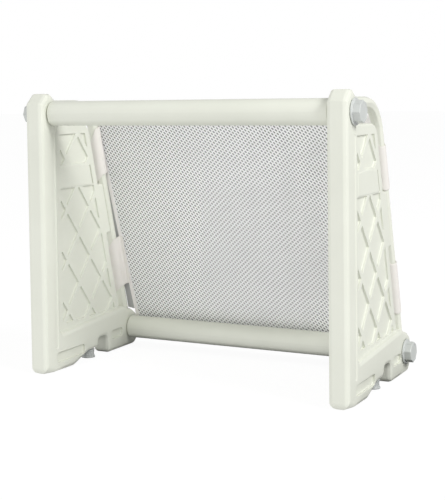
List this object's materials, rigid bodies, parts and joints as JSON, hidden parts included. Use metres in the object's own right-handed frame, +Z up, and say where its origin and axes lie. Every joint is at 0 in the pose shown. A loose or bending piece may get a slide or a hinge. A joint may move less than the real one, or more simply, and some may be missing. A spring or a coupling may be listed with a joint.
{
  "type": "toddler soccer goal",
  "caption": "Small free-standing toddler soccer goal with ivory moulded side panels, round bars, cap nuts and a white mesh net.",
  "frame": {"origin": "on the floor, in the middle of the goal's bounding box", "axes": "+Z up, +X to the right as seen by a player facing the goal, -Y out of the mouth"},
  "size_m": [0.7636, 0.374, 0.6],
  "materials": {
    "ivory_hdpe": "fine satin grain",
    "grey_plastic": "satin",
    "clear_pvc": "soft clear grey",
    "binding": "woven",
    "hook_tape": "hook tape",
    "net": "knitted mesh"
  },
  "bodies": {
    "frame": {"side_panel_left": "ivory_hdpe", "side_panel_right": "ivory_hdpe", "crossbar_top": "ivory_hdpe", "crossbar_bottom": "ivory_hdpe", "net_mesh": "net", "hem_left": "binding", "hem_right": "binding", "hem_top": "binding", "hem_bottom": "binding", "flap_upper_left": "binding", "flap_upper_right": "binding", "flap_lower_left": "binding", "flap_lower_right": "binding", "hook_patch_upper_left": "hook_tape", "hook_patch_upper_right": "hook_tape", "hook_patch_lower_left": "hook_tape", "hook_patch_lower_right": "hook_tape", "suction_cup_left": "clear_pvc", "suction_cup_right": "clear_pvc"},
    "nut_top_left_body": {"nut_top_left": "grey_plastic"},
    "nut_top_right_body": {"nut_top_right": "grey_plastic"},
    "nut_bottom_left_body": {"nut_bottom_left": "grey_plastic"},
    "nut_bottom_right_body": {"nut_bottom_right": "grey_plastic"}
  },
  "joints": [
    {"name": "nut_top_left_turn", "type": "hinge", "parent": "frame", "child": "nut_top_left_body", "pos_m": [-0.3633, -0.148, 0.558], "axis": [-1, 0, 0], "continuous": true},
    {"name": "nut_top_right_turn", "type": "hinge", "parent": "frame", "child": "nut_top_right_body", "pos_m": [0.3633, -0.148, 0.558], "axis": [1, 0, 0], "continuous": true},
    {"name": "nut_bottom_left_turn", "type": "hinge", "parent": "frame", "child": "nut_bottom_left_body", "pos_m": [-0.3608, 0.155, 0.045], "axis": [-1, 0, 0], "continuous": true},
    {"name": "nut_bottom_right_turn", "type": "hinge", "parent": "frame", "child": "nut_bottom_right_body", "pos_m": [0.3608, 0.155, 0.045], "axis": [1, 0, 0], "continuous": true}
  ]
}
